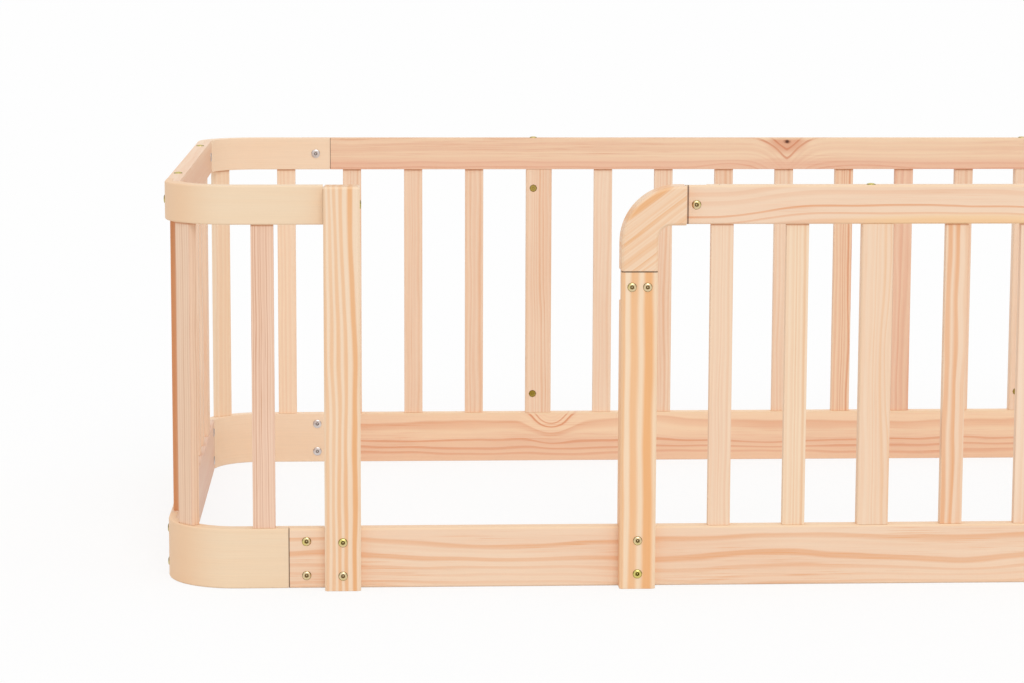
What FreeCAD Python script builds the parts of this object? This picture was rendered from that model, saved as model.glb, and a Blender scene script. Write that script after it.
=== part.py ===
import FreeCAD, Part
import math
import os

# Toddler floor bed of solid pine, made to stand on the floor round a mattress.
# Two closed rings of boards, one on the floor and one at the top, are joined by upright slats.
# Each ring has four straight rails and four bent corners, half lapped and bolted together.
# The front is open between two posts; beyond the second post the top rail starts from a
# rounded corner block.  X runs along the bed, -Y is the front, Z is up and the floor is Z = 0.
# Millimetres throughout.

# ------------------------------------------------------------------ driving dimensions
bed_length = 1646.0            # over the outer faces of the two end rails
bed_depth = 846.0              # over the outer faces of the front and back rails
bed_height = 460.0
board = 18.0                   # thickness of rails and bends
bottom_rail_height = 69.0
top_rail_height = 44.0
rail_ease = 1.5                # flat on the outer long edges of rails and bends

bend_radius = 82.0             # outer face of a bent corner, seen from above
long_lap_start = 141.0         # end rail's outer face to the joint line on the front and back
long_lap_length = 40.0
end_lap_start = 68.0           # front or back outer face to the joint line inside the ends
end_lap_length = 38.0
shoulder_gap = 0.4             # left open where a board ends against another

slat_width = 25.5
slat_thickness = 11.0
slat_ease = 1.5                # flat on the upright edges of the wide slats
slat_gap = 60.5                # between slats set out from a post or a wide slat
tenon_length = 12.0
tenon_width = 20.0
tenon_thickness = 8.0
tenon_fit = 0.3                # all round a tenon in its mortise

wide_slat_width = 36.0
wide_slat_thickness = 16.0

front_bend_slat = 113.0        # end rail's outer face to the first slat of the front
back_bend_slat = 119.5         # end rail's outer face to the first slat of the back
end_bend_slat = 126.0          # front or back outer face to the first slat of an end
back_wide_slat = 475.0         # end rail's outer face to the wide slat of the back
front_wide_slat = 396.2        # right end rail's outer face to the second wide slat of the front
end_wide_slat = 192.0          # front or back outer face to the wide slat of an end
back_middle_slats = 7          # narrow slats between the two wide slats of the back
back_outer_slats = 3           # narrow slats between a wide slat and the bent corner
front_first_slats = 2          # narrow slats between the entry and the first wide slat
front_middle_slats = 4         # narrow slats between the wide slats of the front
front_last_slats = 2           # narrow slats between the second wide slat and the corner
end_slat_count = 5             # narrow slats between the wide slats of an end

post_width = 41.0
post_proud = 18.0              # how far the posts stand in front of the rails
post_setback = 182.0           # end rail's outer face to the left post
entry_width = 294.0            # clear way between the posts
post_gap = 62.0                # right post to the first slat
post_ease = 2.5                # flat on the front edges of the posts and the block

block_drop = 96.0              # top of the bed down to the joint on the front of the right post
block_reach = 73.0             # post's left face to the start of the top rail
block_radius = 65.0
block_inner_radius = 15.5
block_tongue_down = 35.0       # tongue behind the front of the post
block_tongue_side = 25.0       # tongue behind the end of the top rail

bolt_radius = 3.0
bolt_head_radius = 5.3
bolt_head_height = 2.8
bolt_fit = 0.3                 # round a bolt or barrel nut in its hole
nut_head_radius = 6.0
nut_head_height = 1.4
head_sides = 8                 # the many small fasteners are drawn with few sides
shank_sides = 6
lap_bolt_spread = 39.5         # between the two bolts of a bottom lap
post_bolt_spread = 38.5
post_bolt_rise = 2.3           # post bolts sit this much above the rail's middle
block_bolt_spread = 17.7

barrel_radius = 5.0
barrel_length = 13.0
barrel_setback = 27.0          # end of a wide slat to its barrel nut
bolt_offset = 8.0              # long bolt to the middle of a wide slat
counterbore_radius = 6.5

# ------------------------------------------------------------------ derived places
half_board = board / 2
front_y = (post_proud - bed_depth) / 2          # outer face of the front rails
back_y = front_y + bed_depth
right_x = bed_length / 2
left_x = -right_x
top_ring_z = bed_height - top_rail_height
post_left_x = left_x + post_setback
post_right_x = post_left_x + post_width + entry_width
block_end_x = post_right_x + block_reach
block_joint_height = bed_height - block_drop
post_front_y = front_y - post_proud
bottom_bolt_z = bottom_rail_height / 2
top_bolt_z = top_ring_z + top_rail_height / 2
counterbore_depth = bottom_rail_height - top_rail_height
long_lap_middle = long_lap_start + long_lap_length / 2
end_lap_middle = end_lap_start + end_lap_length / 2

TURN = {"front": 0.0, "back": 180.0, "left": -90.0, "right": 90.0}
CORNERS = {
    "front_left": ("left", "front"),
    "front_right": ("right", "front"),
    "back_left": ("left", "back"),
    "back_right": ("right", "back"),
}
UP = FreeCAD.Vector(0, 0, 1)
INTO = FreeCAD.Vector(0, 1, 0)       # from the outside to the inside of a side, before its turn
ORIGIN = FreeCAD.Vector(0, 0, 0)


# ------------------------------------------------------------------ frames and plain forms
def box(x0, x1, y0, y1, z0, z1):
    return Part.makeBox(x1 - x0, y1 - y0, z1 - z0, FreeCAD.Vector(x0, y0, z0))


def prism(sides, radius, length, start, direction):
    """Bar of regular section from a start point; it stands in for a small cylinder."""
    corners = []
    for number in range(sides + 1):
        angle = 2 * math.pi * (number % sides) / sides
        corners.append(FreeCAD.Vector(radius * math.cos(angle), radius * math.sin(angle), 0))
    bar = Part.Face(Part.makePolygon(corners)).extrude(UP * length)
    bar.Placement = FreeCAD.Placement(start, FreeCAD.Rotation(UP, direction))
    return bar


def side_place(side, along, inset=0.0):
    """World place (x, y, turn) on a side; local +Y then points into the bed."""
    if side == "front":
        return along, front_y + inset, TURN[side]
    if side == "back":
        return along, back_y - inset, TURN[side]
    if side == "left":
        return left_x + inset, along, TURN[side]
    return right_x - inset, along, TURN[side]


def put(shape, place):
    x, y, turn = place
    placed = shape.copy()
    placed.rotate(ORIGIN, UP, turn)
    placed.translate(FreeCAD.Vector(x, y, 0))
    return placed


def put_in_corner(shape, corner):
    """Carry a shape drawn in the front left corner, at the origin, to the named corner."""
    end, long_side = CORNERS[corner]
    placed = shape.copy()
    if end == "right":
        placed = placed.mirror(ORIGIN, FreeCAD.Vector(1, 0, 0))
    if long_side == "back":
        placed = placed.mirror(ORIGIN, FreeCAD.Vector(0, 1, 0))
    x = left_x if end == "left" else right_x
    y = front_y if long_side == "front" else back_y
    placed.translate(FreeCAD.Vector(x, y, 0))
    return placed


def corner_x(end, distance):
    """X at a distance from the outer face of an end."""
    return left_x + distance if end == "left" else right_x - distance


def side_y(long_side, distance):
    """Y at a distance from the outer face of the front or the back."""
    return front_y + distance if long_side == "front" else back_y - distance


def eased(shape, flat, wanted):
    edges = [edge for edge in shape.Edges if wanted(edge)]
    return shape.makeChamfer(flat, edges)


def runs_along(edge, axis):
    """True for a straight edge parallel to an axis."""
    if not isinstance(edge.Curve, Part.Line):
        return False
    return abs(edge.tangentAt(edge.FirstParameter).dot(axis)) > 0.999


def drilled(shape, tools):
    """Cut from a piece those holes and mortises that reach it."""
    reaching = [tool for tool in tools if shape.BoundBox.intersect(tool.BoundBox)]
    return shape.cut(reaching) if reaching else shape


# ------------------------------------------------------------------ slats
def narrow_slat():
    """Upright slat with a shouldered tenon at each end, on its own axis."""
    body = box(-slat_width / 2, slat_width / 2, -slat_thickness / 2, slat_thickness / 2,
               bottom_rail_height, top_ring_z)
    tenons = box(-tenon_width / 2, tenon_width / 2, -tenon_thickness / 2, tenon_thickness / 2,
                 bottom_rail_height - tenon_length, top_ring_z + tenon_length)
    return body.fuse(tenons).removeSplitter()


def mortises():
    """The bottom and top mortise of a narrow slat."""
    half_width = tenon_width / 2 + tenon_fit
    half_thickness = tenon_thickness / 2 + tenon_fit
    depth = tenon_length + tenon_fit
    low = box(-half_width, half_width, -half_thickness, half_thickness,
              bottom_rail_height - depth, bottom_rail_height)
    high = box(-half_width, half_width, -half_thickness, half_thickness,
               top_ring_z, top_ring_z + depth)
    return [low, high]


def wide_slat_ends(offset):
    """Where the long bolts cross the ends of a wide slat, and which way they run into it."""
    low_end = FreeCAD.Vector(offset, 0, bottom_rail_height)
    high_end = FreeCAD.Vector(offset, 0, top_ring_z)
    return [(low_end, UP), (high_end, -UP)]


def long_bolt_length():
    return top_rail_height + barrel_setback - barrel_radius - bolt_fit


def bolt_hole(seat, length, into):
    return prism(shank_sides, bolt_radius + bolt_fit, length + bolt_fit, seat, into)


def barrel_hole(middle):
    """Blind hole for a barrel nut, open towards +Y."""
    start = middle - INTO * (barrel_length / 2 + bolt_fit)
    return prism(head_sides, barrel_radius + bolt_fit, board, start, INTO)


def barrel_nut(middle):
    """Cross dowel along Y; the long bolt runs into its side."""
    return prism(head_sides, barrel_radius, barrel_length, middle - INTO * barrel_length / 2, INTO)


def wide_slat_holes(offset):
    """Holes in a wide slat and in the rails below and above it, on the slat's axis."""
    holes = []
    for end, into in wide_slat_ends(offset):
        holes.append(bolt_hole(end - into * top_rail_height, long_bolt_length(), into))
        holes.append(barrel_hole(end + into * barrel_setback))
    foot = FreeCAD.Vector(offset, 0, 0)
    holes.append(prism(head_sides, counterbore_radius, counterbore_depth, foot, UP))
    return holes


def wide_slat():
    blank = box(-wide_slat_width / 2, wide_slat_width / 2,
                -wide_slat_thickness / 2, wide_slat_thickness / 2, bottom_rail_height, top_ring_z)
    return eased(blank, slat_ease, lambda edge: runs_along(edge, UP))


# ------------------------------------------------------------------ slat layout
def march(edge, widths, gap, step):
    """Middles of slats set out from an edge, each after the same gap."""
    middles = []
    for width in widths:
        middles.append(edge + step * (gap + width / 2))
        edge = edge + step * (gap + width)
    return middles


def spread(start, stop, count, width):
    """Middles of slats shared out evenly between two edges."""
    gap = (stop - start - count * width) / (count + 1)
    return march(start, [width] * count, gap, 1)


def between_wide(wide, count):
    """Middles of narrow slats shared out between two wide ones."""
    half = wide_slat_width / 2
    return spread(wide[0] + half, wide[1] - half, count, slat_width)


def back_layout():
    """Narrow and wide slat middles of the back, the same from either end."""
    wide = [corner_x("left", back_wide_slat), corner_x("right", back_wide_slat)]
    widths = [slat_width] * back_outer_slats
    outer_right = march(wide[1] + wide_slat_width / 2, widths, slat_gap, 1)
    outer_left = march(wide[0] - wide_slat_width / 2, widths, slat_gap, -1)
    return outer_left[::-1] + between_wide(wide, back_middle_slats) + outer_right, wide


def front_layout():
    """Narrow and wide slat middles of the front, from the right post to the right corner."""
    widths = [slat_width] * front_first_slats + [wide_slat_width]
    start = post_right_x + post_width + post_gap - slat_gap
    *first, first_wide = march(start, widths, slat_gap, 1)
    wide = [first_wide, corner_x("right", front_wide_slat)]
    last_edge = corner_x("right", front_bend_slat) - slat_width / 2
    last = spread(wide[1] + wide_slat_width / 2, last_edge, front_last_slats, slat_width)
    return first + between_wide(wide, front_middle_slats) + last, wide


def end_layout():
    """Narrow and wide slat middles of an end."""
    wide = [side_y("front", end_wide_slat), side_y("back", end_wide_slat)]
    return between_wide(wide, end_slat_count), wide


def corner_slat_places(corner):
    """Places of the three slats of a corner: on the long side, in the bend, on the end."""
    end, long_side = CORNERS[corner]
    from_end = front_bend_slat if long_side == "front" else back_bend_slat
    on_long = side_place(long_side, corner_x(end, from_end), half_board)
    on_end = side_place(end, side_y(long_side, end_bend_slat), half_board)
    middle_radius = bend_radius - half_board
    long_run = from_end - bend_radius
    end_run = end_bend_slat - bend_radius
    path = long_run + middle_radius * math.pi / 2 + end_run
    angle = (path / 2 - end_run) / middle_radius
    reach_x = bend_radius - middle_radius * math.cos(angle)
    reach_y = bend_radius - middle_radius * math.sin(angle)
    away = math.degrees(angle)
    turn = {
        "front_left": away - 90,
        "front_right": 90 - away,
        "back_left": -90 - away,
        "back_right": 90 + away,
    }[corner]
    in_bend = (corner_x(end, reach_x), side_y(long_side, reach_y), turn)
    return [on_long, in_bend, on_end]


# ------------------------------------------------------------------ rails and bends
def straight_rail(side, start, stop, z0, height):
    """Board between two places along a side, its outer long edges eased."""
    if side in ("front", "back"):
        outer = side_y(side, 0)
        low = min(outer, side_y(side, board))
        blank = box(start, stop, low, low + board, z0, z0 + height)
        return eased(blank, rail_ease,
                     lambda edge: edge.BoundBox.YLength < 0.01 < edge.BoundBox.XLength
                     and abs(edge.BoundBox.YMin - outer) < 0.01)
    outer = corner_x(side, 0)
    low = min(outer, corner_x(side, board))
    blank = box(low, low + board, start, stop, z0, z0 + height)
    return eased(blank, rail_ease,
                 lambda edge: edge.BoundBox.XLength < 0.01 < edge.BoundBox.YLength
                 and abs(edge.BoundBox.XMin - outer) < 0.01)


def half_thickness(side, start, stop, outer):
    """The outer or inner half of a side's boards between two places, for a lap."""
    inset = (-board, half_board) if outer else (half_board, 2 * board)
    if side in ("front", "back"):
        edges = sorted(side_y(side, depth) for depth in inset)
        return box(start, stop, edges[0], edges[1], -board, bed_height + board)
    edges = sorted(corner_x(side, depth) for depth in inset)
    return box(edges[0], edges[1], start, stop, -board, bed_height + board)


def long_rail(side, z0, height, left_start, left_lap):
    """Front or back rail: its outer half covers a tongue at each end."""
    right_stop = corner_x("right", long_lap_start)
    rail = straight_rail(side, left_start, right_stop, z0, height)
    left_cut = half_thickness(side, left_start - board, left_start + left_lap + shoulder_gap, False)
    right_cut = half_thickness(side, right_stop - long_lap_length - shoulder_gap,
                               right_stop + board, False)
    return rail.cut([left_cut, right_cut])


def end_rail(side, z0, height):
    """Rail of an end: its inner half lies behind the bends."""
    start = side_y("front", end_lap_start)
    stop = side_y("back", end_lap_start)
    rail = straight_rail(side, start, stop, z0, height)
    front_cut = half_thickness(side, start - board, start + end_lap_length, True)
    back_cut = half_thickness(side, stop - end_lap_length, stop + board, True)
    return rail.cut([front_cut, back_cut])


def bend(corner, z0, height, long_stop, lapped):
    """Bent corner: a tongue behind the long rail, or a square end, and a seat on the end."""
    end_stop = end_lap_start + end_lap_length - shoulder_gap
    inner_radius = bend_radius - board
    slant = math.sqrt(0.5)
    outer_middle = bend_radius * (1 - slant)
    inner_middle = bend_radius - inner_radius * slant

    def point(x, y):
        return FreeCAD.Vector(x, y, z0)

    outline = Part.Wire([
        Part.makeLine(point(long_stop, 0), point(bend_radius, 0)),
        Part.Arc(point(bend_radius, 0), point(outer_middle, outer_middle),
                 point(0, bend_radius)).toShape(),
        Part.makeLine(point(0, bend_radius), point(0, end_stop)),
        Part.makeLine(point(0, end_stop), point(board, end_stop)),
        Part.makeLine(point(board, end_stop), point(board, bend_radius)),
        Part.Arc(point(board, bend_radius), point(inner_middle, inner_middle),
                 point(bend_radius, board)).toShape(),
        Part.makeLine(point(bend_radius, board), point(long_stop, board)),
        Part.makeLine(point(long_stop, board), point(long_stop, 0)),
    ])
    blank = Part.Face(outline).extrude(UP * height)

    def is_outer_edge(edge):
        box_of = edge.BoundBox
        level = box_of.ZLength < 0.01
        at_outer_face = box_of.YMin < 0.01 or box_of.XMin < 0.01
        at_stops = box_of.XMin > long_stop - 0.01 or box_of.YMin > end_stop - 0.01
        return level and at_outer_face and not at_stops

    bent = eased(blank, rail_ease, is_outer_edge)
    bent = bent.cut(box(half_board, 2 * board, end_lap_start - shoulder_gap, end_stop + board,
                        z0 - board, z0 + height + board))
    if lapped:
        bent = bent.cut(box(long_lap_start - shoulder_gap, long_stop + board, -board, half_board,
                            z0 - board, z0 + height + board))
    return put_in_corner(bent, corner)


# ------------------------------------------------------------------ posts and corner block
def post_blank(x0, top):
    blank = box(x0, x0 + post_width, post_front_y, front_y + board, 0, top)
    foot = box(x0 - board, x0 + post_width + board, front_y, front_y + 2 * board,
               -board, bottom_rail_height + shoulder_gap)
    return blank, foot


def entry_post_left():
    """Post notched over the bottom rail; the top bend ends against its left face."""
    blank, foot = post_blank(post_left_x, bed_height)
    shaped = eased(blank, post_ease, lambda edge: edge.BoundBox.ZMax > post_ease)
    return shaped.cut(foot)


def entry_post_right():
    """Post whose front runs up over the tongue of the corner block."""
    blank, foot = post_blank(post_right_x, block_joint_height)
    shaped = eased(blank, post_ease, lambda edge: runs_along(edge, UP))
    head = box(post_right_x - board, post_right_x + post_width + board, front_y,
               front_y + 2 * board, block_joint_height - block_tongue_down - shoulder_gap,
               block_joint_height + board)
    return shaped.cut([foot, head])


def entry_corner_block():
    """Quarter round block with one tongue behind the post and one behind the top rail."""
    low = block_joint_height + shoulder_gap
    inner_x = post_right_x + post_width
    end_x = block_end_x - shoulder_gap
    slant = math.sqrt(0.5)

    def point(x, z):
        return FreeCAD.Vector(x, post_front_y, z)

    outer_x = post_right_x + block_radius
    outer_z = bed_height - block_radius
    fillet_x = inner_x + block_inner_radius
    fillet_z = top_ring_z - block_inner_radius
    outline = Part.Wire([
        Part.makeLine(point(post_right_x, low), point(post_right_x, outer_z)),
        Part.Arc(point(post_right_x, outer_z),
                 point(outer_x - block_radius * slant, outer_z + block_radius * slant),
                 point(outer_x, bed_height)).toShape(),
        Part.makeLine(point(outer_x, bed_height), point(end_x, bed_height)),
        Part.makeLine(point(end_x, bed_height), point(end_x, top_ring_z)),
        Part.makeLine(point(end_x, top_ring_z), point(fillet_x, top_ring_z)),
        Part.Arc(point(fillet_x, top_ring_z),
                 point(fillet_x - block_inner_radius * slant,
                       fillet_z + block_inner_radius * slant),
                 point(inner_x, fillet_z)).toShape(),
        Part.makeLine(point(inner_x, fillet_z), point(inner_x, low)),
        Part.makeLine(point(inner_x, low), point(post_right_x, low)),
    ])
    blank = Part.Face(outline).extrude(FreeCAD.Vector(0, post_proud + board, 0))

    def is_front_edge(edge):
        box_of = edge.BoundBox
        at_joints = box_of.ZMax < low + 0.01 or box_of.XMin > end_x - 0.01
        return box_of.YMax < post_front_y + 0.01 and not at_joints

    shaped = eased(blank, post_ease, is_front_edge)
    tongue_down = box(post_right_x + post_ease, inner_x - post_ease, front_y, front_y + board,
                      block_joint_height - block_tongue_down, low)
    tongue_side = box(end_x, block_end_x + block_tongue_side, front_y + half_board,
                      front_y + board, top_ring_z + rail_ease, bed_height - rail_ease)
    return shaped.fuse([tongue_down, tongue_side]).removeSplitter()


# ------------------------------------------------------------------ fasteners
def bolt(length, seat, into):
    """Bolt whose head bears at seat and whose shank runs the way of into."""
    head = prism(head_sides, bolt_head_radius, bolt_head_height, seat, -into)
    shank = prism(shank_sides, bolt_radius, length, seat, into)
    return head.fuse(shank)


def sleeve_nut(seat, into):
    """Flange of a sleeve nut, seated on the inner face over the end of its bolt."""
    return prism(head_sides, nut_head_radius, nut_head_height, seat, into)


def cross_bolts():
    """Places of the bolts that clamp two boards: (place, height, thickness clamped)."""
    rows = []
    bottom_rows = [bottom_bolt_z - lap_bolt_spread / 2, bottom_bolt_z + lap_bolt_spread / 2]
    for corner, (end, long_side) in CORNERS.items():
        on_long = side_place(long_side, corner_x(end, long_lap_middle))
        on_end = side_place(end, side_y(long_side, end_lap_middle))
        for z in bottom_rows:
            rows.append((on_long, z, board))
            rows.append((on_end, z, board))
        rows.append((on_end, top_bolt_z, board))
        if corner != "front_left":
            rows.append((on_long, top_bolt_z, board))
    rail_bolt = side_place("front", block_end_x + block_tongue_side / 2)
    rows.append((rail_bolt, top_bolt_z, board))

    post_thickness = post_proud + board
    middle_z = bottom_bolt_z + post_bolt_rise
    for x0 in (post_left_x, post_right_x):
        place = side_place("front", x0 + post_width / 2, -post_proud)
        rows.append((place, middle_z - post_bolt_spread / 2, post_thickness))
        rows.append((place, middle_z + post_bolt_spread / 2, post_thickness))
    tongue_z = block_joint_height - block_tongue_down / 2
    for shift in (-block_bolt_spread / 2, block_bolt_spread / 2):
        place = side_place("front", post_right_x + post_width / 2 + shift, -post_proud)
        rows.append((place, tongue_z, post_thickness))
    return rows


def build_cross_bolts():
    """Bolts and sleeve nuts of the laps and posts, and their holes."""
    lap_bolts = []
    post_bolts = []
    nuts = []
    holes = []
    for place, z, grip in cross_bolts():
        seat = FreeCAD.Vector(0, 0, z)
        screw = put(bolt(grip, seat, INTO), place)
        (lap_bolts if grip == board else post_bolts).append(screw)
        nuts.append(put(sleeve_nut(seat + INTO * grip, INTO), place))
        holes.append(put(bolt_hole(seat, grip, INTO), place))
    return lap_bolts, post_bolts, nuts, holes


def build_wide_slats(stations):
    """Wide slats with their long bolts and barrel nuts, and the holes for them."""
    slats = {}
    bolts = []
    nuts = []
    holes = []
    for name, place, offset in stations:
        tools = wide_slat_holes(offset)
        slats[name] = put(wide_slat().cut(tools), place)
        holes.extend(put(tool, place) for tool in tools)
        for end, into in wide_slat_ends(offset):
            bolts.append(put(bolt(long_bolt_length(), end - into * top_rail_height, into), place))
            nuts.append(put(barrel_nut(end + into * barrel_setback), place))
    return slats, bolts, nuts, holes


def build_post_end_bolt():
    """Long bolt through the left post into the end of the top bend."""
    along = FreeCAD.Vector(-1, 0, 0)
    seat = FreeCAD.Vector(post_left_x + post_width, front_y + half_board, top_bolt_z)
    middle = seat + along * (top_rail_height + barrel_setback)
    holes = [bolt_hole(seat, long_bolt_length(), along), barrel_hole(middle)]
    return bolt(long_bolt_length(), seat, along), barrel_nut(middle), holes


# ------------------------------------------------------------------ assembly
def build():
    nodes = {}
    back_narrow, back_wide = back_layout()
    front_narrow, front_wide = front_layout()
    end_narrow, end_wide = end_layout()

    slat = narrow_slat()
    mortise_pair = mortises()
    holes = []

    def stand(place):
        holes.extend(put(tool, place) for tool in mortise_pair)
        return put(slat, place)

    for side, middles in (("back", back_narrow), ("front", front_narrow)):
        for number, x in enumerate(middles, 1):
            nodes[f"slat_{side}_{number:02d}"] = stand(side_place(side, x, half_board))
    for side in ("left", "right"):
        places = [side_place(side, y, half_board) for y in end_narrow]
        nodes[f"end_slats_{side}"] = Part.makeCompound([stand(place) for place in places])
    for corner in CORNERS:
        three = [stand(place) for place in corner_slat_places(corner)]
        nodes[f"corner_slats_{corner}"] = Part.makeCompound(three)

    stations = [
        ("wide_slat_front_left", side_place("front", front_wide[0], half_board), -bolt_offset),
        ("wide_slat_front_right", side_place("front", front_wide[1], half_board), -bolt_offset),
        ("wide_slat_back_left", side_place("back", back_wide[0], half_board), bolt_offset),
        ("wide_slat_back_right", side_place("back", back_wide[1], half_board), bolt_offset),
        ("wide_slat_left_front", side_place("left", end_wide[0], half_board), bolt_offset),
        ("wide_slat_left_back", side_place("left", end_wide[1], half_board), -bolt_offset),
        ("wide_slat_right_front", side_place("right", end_wide[0], half_board), -bolt_offset),
        ("wide_slat_right_back", side_place("right", end_wide[1], half_board), bolt_offset),
    ]
    wide, long_bolts, barrel_nuts, wide_holes = build_wide_slats(stations)
    lap_bolts, post_bolts, sleeve_nuts, cross_holes = build_cross_bolts()
    end_bolt, end_nut, end_holes = build_post_end_bolt()
    nodes.update(wide)
    holes = holes + wide_holes + cross_holes + end_holes

    rings = (("bottom", 0.0, bottom_rail_height), ("top", top_ring_z, top_rail_height))
    for ring, z0, height in rings:
        entry = ring == "top"
        start = block_end_x if entry else corner_x("left", long_lap_start)
        lap = block_tongue_side if entry else long_lap_length
        nodes[f"{ring}_rail_front"] = long_rail("front", z0, height, start, lap)
        nodes[f"{ring}_rail_back"] = long_rail("back", z0, height,
                                               corner_x("left", long_lap_start), long_lap_length)
        for side in ("left", "right"):
            nodes[f"{ring}_rail_{side}"] = end_rail(side, z0, height)
        for corner in CORNERS:
            to_post = entry and corner == "front_left"
            stop = post_setback - shoulder_gap if to_post else long_lap_start + long_lap_length
            nodes[f"{ring}_bend_{corner}"] = bend(corner, z0, height, stop, not to_post)
    nodes["entry_post_left"] = entry_post_left()
    nodes["entry_post_right"] = entry_post_right()
    nodes["entry_corner_block"] = entry_corner_block()

    for name in nodes:
        if "rail" in name or "bend" in name or "entry" in name:
            nodes[name] = drilled(nodes[name], holes)

    nodes["lap_bolts"] = Part.makeCompound(lap_bolts)
    nodes["post_bolts"] = Part.makeCompound(post_bolts)
    nodes["sleeve_nuts"] = Part.makeCompound(sleeve_nuts)
    nodes["long_bolts"] = Part.makeCompound(long_bolts + [end_bolt])
    nodes["barrel_nuts"] = Part.makeCompound(barrel_nuts + [end_nut])
    return nodes


def export(nodes):
    os.makedirs("parts", exist_ok=True)
    facets = 0
    for name, shape in nodes.items():
        shape.exportStep(f"parts/{name}.step")
        mesh = shape.copy().tessellate(shape.BoundBox.DiagonalLength * 2e-4)
        facets = facets + len(mesh[1])
        print(f"{name:28s} solids {len(shape.Solids):3d} facets {len(mesh[1]):5d} "
              f"valid {shape.isValid()}")
    whole = Part.makeCompound(list(nodes.values())).BoundBox
    print("nodes", len(nodes), "facets", facets)
    print("box", whole.XMin, whole.XMax, whole.YMin, whole.YMax, whole.ZMin, whole.ZMax)


export(build())
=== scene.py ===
import math
import random

import bmesh
import bpy
from mathutils import Matrix, Vector


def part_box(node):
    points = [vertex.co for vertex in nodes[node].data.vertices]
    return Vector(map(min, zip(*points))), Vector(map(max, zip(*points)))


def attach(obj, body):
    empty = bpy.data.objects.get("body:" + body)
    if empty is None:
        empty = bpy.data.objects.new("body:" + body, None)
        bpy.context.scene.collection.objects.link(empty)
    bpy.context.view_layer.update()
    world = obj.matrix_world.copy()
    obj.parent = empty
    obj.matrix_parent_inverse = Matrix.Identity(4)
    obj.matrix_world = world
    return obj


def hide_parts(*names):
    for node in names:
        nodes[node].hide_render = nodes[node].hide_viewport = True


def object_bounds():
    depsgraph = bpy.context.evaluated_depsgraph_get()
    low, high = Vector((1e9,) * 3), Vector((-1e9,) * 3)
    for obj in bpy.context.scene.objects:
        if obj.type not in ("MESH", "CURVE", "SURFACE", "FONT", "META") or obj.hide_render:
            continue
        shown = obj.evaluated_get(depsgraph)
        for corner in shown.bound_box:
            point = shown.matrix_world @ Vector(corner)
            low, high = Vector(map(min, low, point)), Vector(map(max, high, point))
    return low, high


# Toddler floor bed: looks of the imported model, in metres, in the model's own frame.
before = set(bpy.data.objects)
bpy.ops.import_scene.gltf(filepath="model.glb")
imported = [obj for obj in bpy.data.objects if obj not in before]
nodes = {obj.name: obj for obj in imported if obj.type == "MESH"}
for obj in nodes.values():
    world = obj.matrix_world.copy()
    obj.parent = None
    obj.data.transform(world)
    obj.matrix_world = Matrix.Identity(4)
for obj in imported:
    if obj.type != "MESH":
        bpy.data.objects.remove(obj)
cad_low, cad_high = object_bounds()
MM = 0.001
SIDES = ("front", "back", "left", "right")
CORNERS = ("front_left", "front_right", "back_left", "back_right")
NARROW_SLATS = ("slat_", "end_slats_", "corner_slats_")
SLATS = NARROW_SLATS + ("wide_slat_",)

# the boards, in millimetres
BOARD = 18.0                 # thickness
HALF_BOARD = BOARD / 2
BEND_RADIUS = 82.0           # of a bent corner's outer face
LONG_LAP = 40.0              # at the ends of the front and back rails
END_LAP = 38.0               # at the ends of the end rails
TENON_LENGTH = 12.0
BLOCK_SLOPE = math.radians(37)


def srgb(red, green, blue):
    """Linear colour of a display colour written 0 to 255."""
    made = []
    for value in (red, green, blue):
        share = value / 255
        made.append(share / 12.92 if share <= 0.04045 else ((share + 0.055) / 1.055) ** 2.4)
    return (*made, 1.0)


# ------------------------------------------------------------------ camera
IMAGE_WIDTH = 1024
FOCAL_PIXELS = 2909
SENSOR_WIDTH = 36.0
CAMERA_PLACE = Vector((-598.2, -3672.6, 723.1)) * MM
CAMERA_YAW = math.radians(2.98)       # towards +X
CAMERA_PITCH = math.radians(7.68)     # down
CAMERA_ROLL = math.radians(0.19)


def make_camera():
    data = bpy.data.cameras.new("camera")
    data.sensor_width = SENSOR_WIDTH
    data.lens = FOCAL_PIXELS / IMAGE_WIDTH * data.sensor_width
    data.clip_start = 0.1
    data.clip_end = 200.0
    forward = Vector((math.sin(CAMERA_YAW) * math.cos(CAMERA_PITCH),
                      math.cos(CAMERA_YAW) * math.cos(CAMERA_PITCH),
                      -math.sin(CAMERA_PITCH)))
    level = Vector((math.cos(CAMERA_YAW), -math.sin(CAMERA_YAW), 0.0))
    upright = level.cross(forward)
    right = math.cos(CAMERA_ROLL) * level + math.sin(CAMERA_ROLL) * upright
    up = -math.sin(CAMERA_ROLL) * level + math.cos(CAMERA_ROLL) * upright
    camera = bpy.data.objects.new("camera", data)
    bpy.context.scene.collection.objects.link(camera)
    matrix = Matrix((right, up, -forward)).transposed().to_4x4()
    matrix.translation = CAMERA_PLACE
    camera.matrix_world = matrix
    bpy.context.scene.camera = camera


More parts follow.
